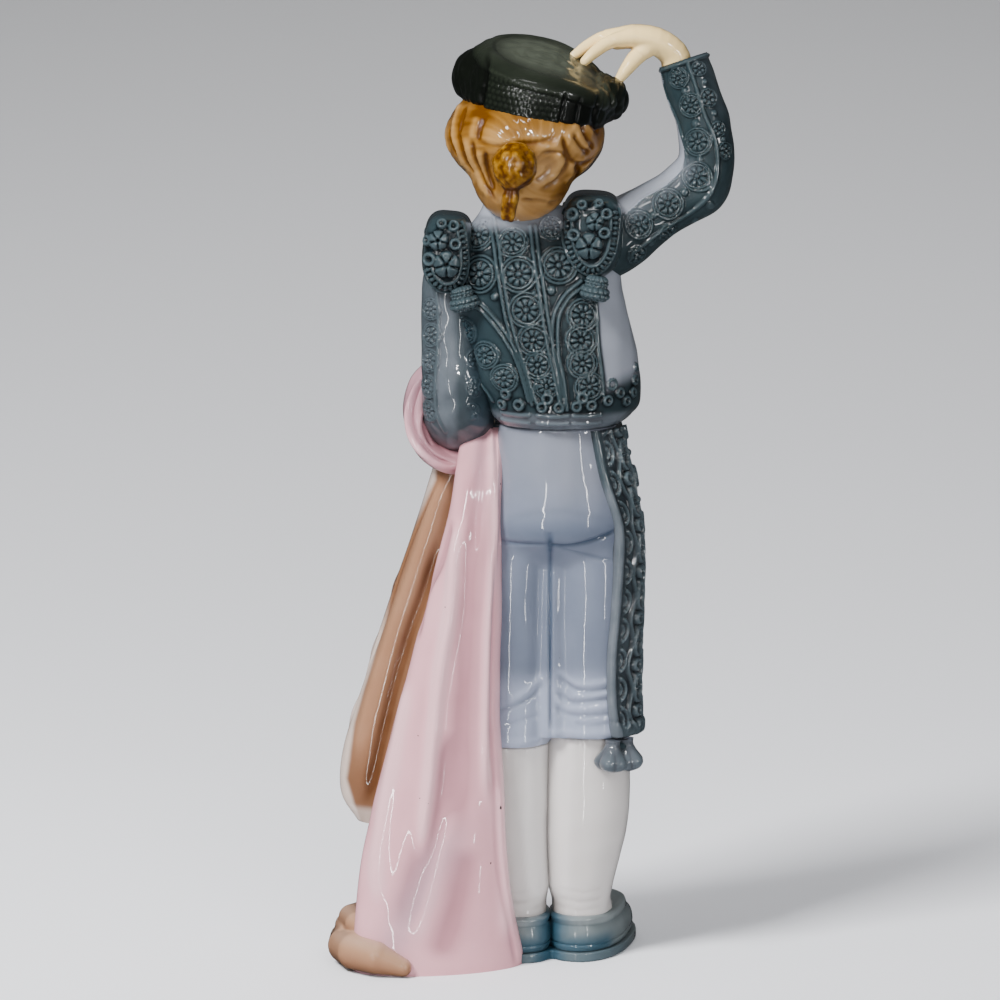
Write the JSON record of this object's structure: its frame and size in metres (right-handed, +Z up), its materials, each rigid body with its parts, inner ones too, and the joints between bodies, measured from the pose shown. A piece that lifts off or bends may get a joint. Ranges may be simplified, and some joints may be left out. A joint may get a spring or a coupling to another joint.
{
  "type": "souvenir figurine",
  "caption": "Glazed porcelain figurine of a standing young bullfighter, one hand raised to the hat, with a long cape draped over the other forearm to the floor.",
  "frame": {"origin": "centre of the overall footprint, on the plane the figurine stands on", "axes": "+Z up, the figure faces -Y, its right hand is on the -X side"},
  "size_m": [0.137, 0.0864, 0.3151],
  "materials": {
    "slate_glaze": "glossy slate-blue glaze, darker where it pools in the relief",
    "pale_blue_glaze": "glossy light grey-blue glaze",
    "white_glaze": "glossy warm white glaze",
    "shoe_glaze": "glossy grey-blue glaze, teal where it pools",
    "skin_glaze": "glossy ivory glaze",
    "hair_glaze": "glossy honey-brown glaze",
    "hat_glaze": "satin dark green-black glaze",
    "pink_glaze": "glossy pink glaze",
    "tan_glaze": "glossy tan glaze"
  },
  "bodies": {
    "root": {"base_plate": "shoe_glaze", "right_shoe": "shoe_glaze", "left_shoe": "shoe_glaze", "right_stocking": "white_glaze", "left_stocking": "white_glaze", "breeches": "pale_blue_glaze", "right_trouser_panel": "slate_glaze", "left_trouser_panel": "slate_glaze", "right_knee_tassel": "slate_glaze", "left_knee_tassel": "slate_glaze", "jacket": "slate_glaze", "shirt_front": "white_glaze", "necktie": "hat_glaze", "right_sleeve": "slate_glaze", "left_sleeve": "slate_glaze", "right_epaulette": "slate_glaze", "left_epaulette": "slate_glaze", "right_epaulette_tassel": "slate_glaze", "left_epaulette_tassel": "slate_glaze", "head": "skin_glaze", "hair": "hair_glaze", "hair_bun": "hair_glaze", "hat": "hat_glaze", "right_hand": "skin_glaze", "left_hand": "skin_glaze", "cape_back_panel": "pink_glaze", "cape_front_panel": "tan_glaze", "cape_arm_wrap": "pink_glaze", "cape_floor_fold": "tan_glaze"}
  },
  "joints": []
}
